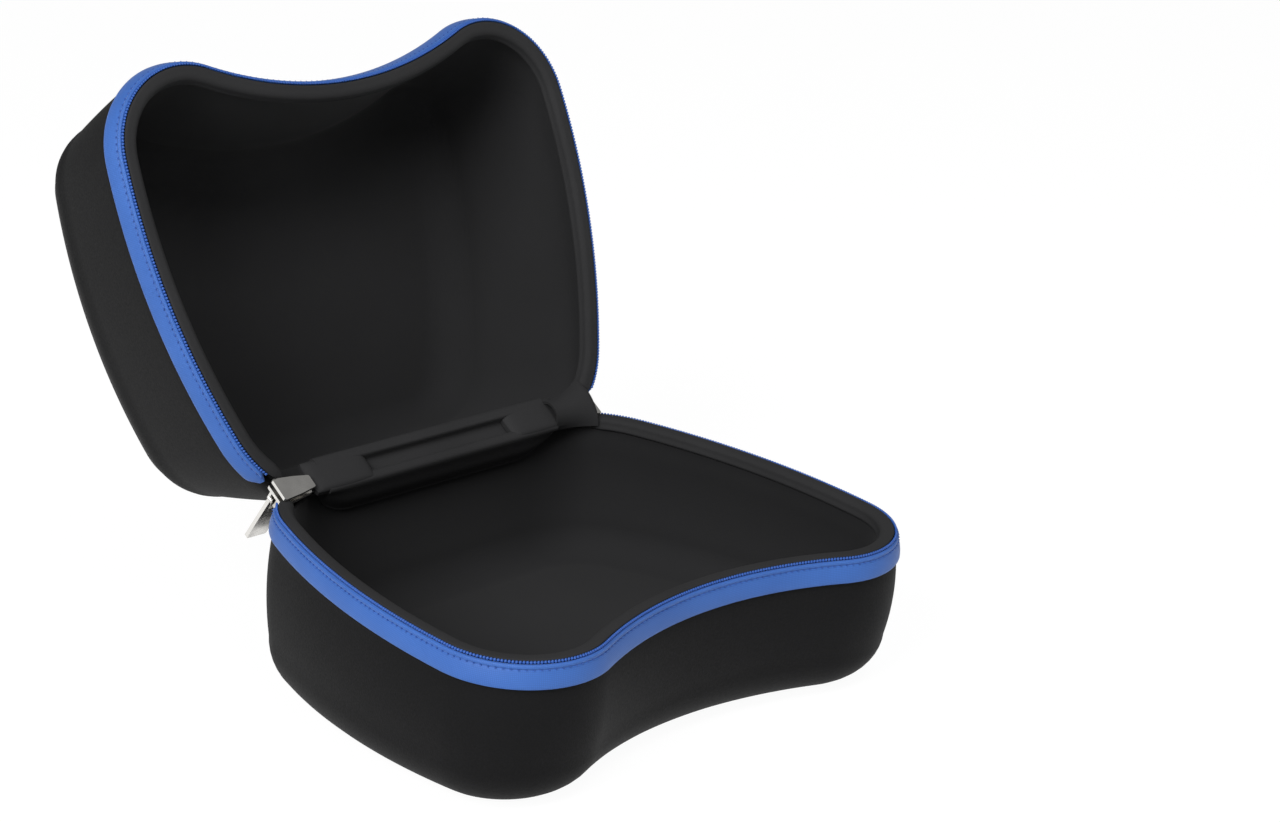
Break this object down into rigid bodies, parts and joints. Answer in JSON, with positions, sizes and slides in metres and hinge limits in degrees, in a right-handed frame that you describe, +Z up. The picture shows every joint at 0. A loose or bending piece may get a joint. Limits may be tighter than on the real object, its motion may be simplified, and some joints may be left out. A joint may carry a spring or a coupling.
{
  "type": "game controller carrying case",
  "caption": "Hard-shell zip case shaped round a game controller, standing open, with a moulded lid on a cloth hinge and metal zip sliders.",
  "frame": {"origin": "middle of the flat underside that the case stands on", "axes": "+Z up, -Y towards the front of the case, +X to the right seen from the front"},
  "size_m": [0.1898, 0.2404, 0.1937],
  "materials": {
    "shell_cloth": "moulded black cloth over foam",
    "lining_cloth": "soft black brushed cloth",
    "padded_piping": "black padded cloth",
    "zip_tape": "blue woven tape",
    "zip_coil": "blue nylon coil",
    "nickel": "polished nickel plate"
  },
  "bodies": {
    "base": {"base_shell": "shell_cloth", "base_lining": "lining_cloth", "base_rim_lip": "padded_piping", "base_zip_tape": "zip_tape", "base_zip_coil": "zip_coil", "hinge_gusset": "lining_cloth", "left_zip_end_tab": "padded_piping", "right_zip_end_tab": "padded_piping"},
    "lid": {"lid_shell": "shell_cloth", "lid_lining": "lining_cloth", "lid_rim_lip": "padded_piping", "lid_zip_tape": "zip_tape", "lid_zip_coil": "zip_coil"},
    "left_slider_body": {"left_slider": "nickel"},
    "right_slider_body": {"right_slider": "nickel"},
    "left_pull_body": {"left_pull": "nickel"},
    "right_pull_body": {"right_pull": "nickel"}
  },
  "joints": [
    {"name": "lid_hinge", "type": "hinge", "parent": "base", "child": "lid", "pos_m": [0, 0.05848, 0.06646], "axis": [1, 0, 0], "range_deg": [0, 118.5], "deforming": ["hinge_gusset", "left_zip_end_tab", "right_zip_end_tab"]},
    {"name": "left_slider_tilt", "type": "hinge", "parent": "base", "child": "left_slider_body", "pos_m": [-0.0635, 0.05848, 0.06646], "axis": [1, 0, 0], "range_deg": [0, 59.25]},
    {"name": "right_slider_tilt", "type": "hinge", "parent": "base", "child": "right_slider_body", "pos_m": [0.0635, 0.05848, 0.06646], "axis": [1, 0, 0], "range_deg": [0, 59.25]},
    {"name": "left_pull_swing", "type": "hinge", "parent": "left_slider_body", "child": "left_pull_body", "pos_m": [-0.0673, 0.05896, 0.06297], "axis": [1, 0, 0], "range_deg": [-82.95, 0]},
    {"name": "right_pull_swing", "type": "hinge", "parent": "right_slider_body", "child": "right_pull_body", "pos_m": [0.0673, 0.05896, 0.06297], "axis": [1, 0, 0], "range_deg": [-82.95, 0]}
  ],
  "couplings": [
    {"joint": "left_slider_tilt", "follows": "lid_hinge", "ratio": 0.5},
    {"joint": "right_slider_tilt", "follows": "lid_hinge", "ratio": 0.5},
    {"joint": "left_pull_swing", "follows": "lid_hinge", "ratio": -0.7},
    {"joint": "right_pull_swing", "follows": "lid_hinge", "ratio": -0.7}
  ]
}
